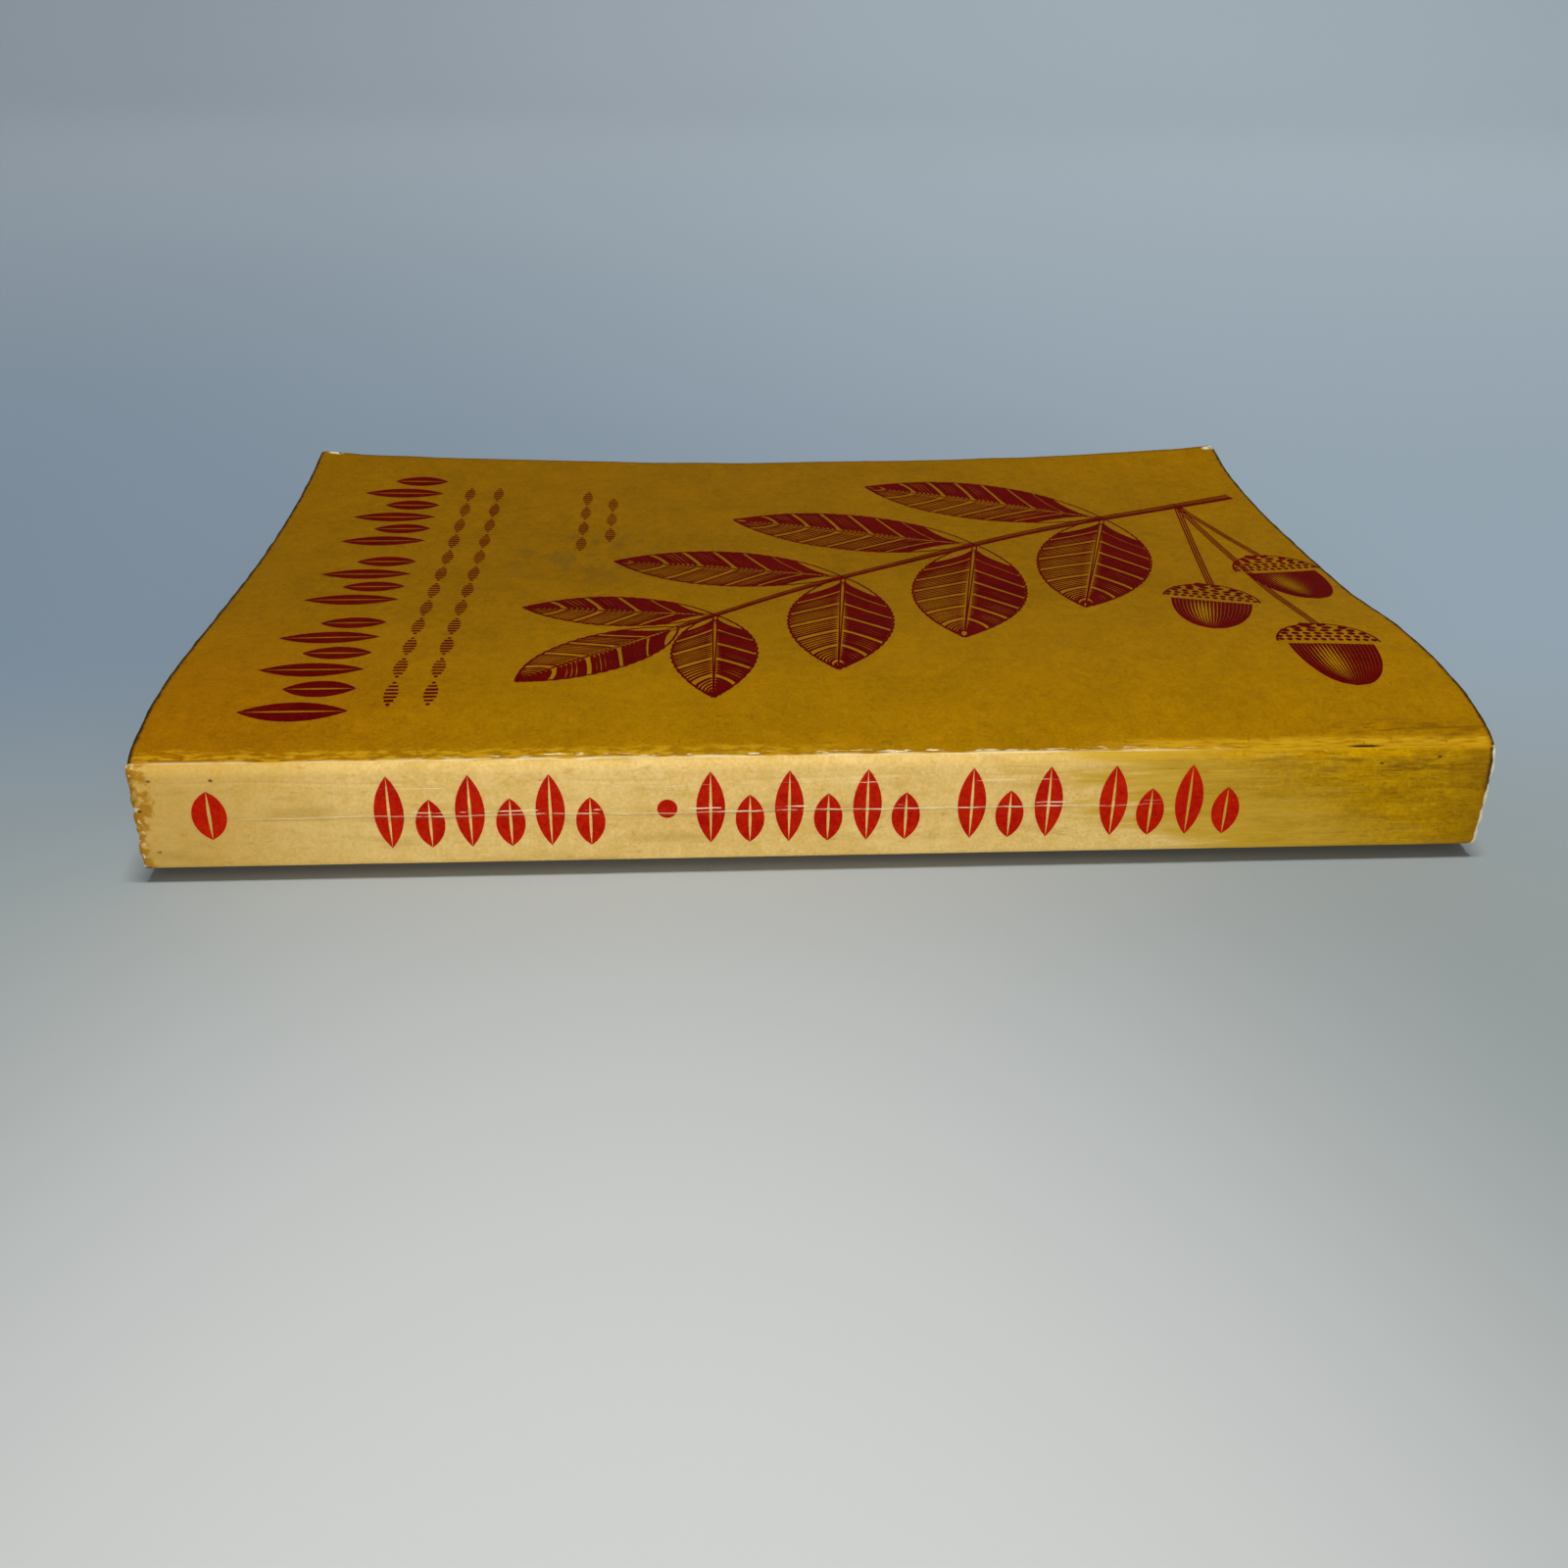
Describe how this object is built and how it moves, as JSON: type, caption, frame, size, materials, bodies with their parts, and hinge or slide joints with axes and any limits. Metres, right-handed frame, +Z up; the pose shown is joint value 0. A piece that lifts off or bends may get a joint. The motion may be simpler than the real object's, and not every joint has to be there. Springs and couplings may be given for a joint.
{
  "type": "paperback book",
  "caption": "Closed paperback book lying on its back cover, with a worn card cover, a glued page block and hinged front and back covers.",
  "frame": {"origin": "on the table, under the middle of the closed book's bounding box", "axes": "+X along the book from its head to its tail, +Y from the spine to the fore-edge, +Z up through the front cover"},
  "size_m": [0.203, 0.1398, 0.0219],
  "materials": {
    "cover_card": "ochre printed card, semi-gloss, scuffed",
    "spine_card": "cream printed card, creased lengthwise",
    "pages": "aged book paper, trimmed edges",
    "binding_glue": "yellowed binding adhesive",
    "maroon_ink": "dark maroon print",
    "red_ink": "bright red print"
  },
  "bodies": {
    "book_block": {"page_block": "pages", "spine_glue": "binding_glue", "spine_cover": "spine_card", "spine_print": "red_ink"},
    "front_cover": {"front_cover": "cover_card", "front_print": "maroon_ink"},
    "back_cover": {"back_cover": "cover_card"}
  },
  "joints": [
    {"name": "front_cover_hinge", "type": "hinge", "parent": "book_block", "child": "front_cover", "pos_m": [0, -0.06716, 0.01858], "axis": [1, 0, 0], "range_deg": [0, 180]},
    {"name": "back_cover_hinge", "type": "hinge", "parent": "book_block", "child": "back_cover", "pos_m": [0, -0.06856, 0.0014], "axis": [-1, 0, 0], "range_deg": [0, 180]}
  ]
}
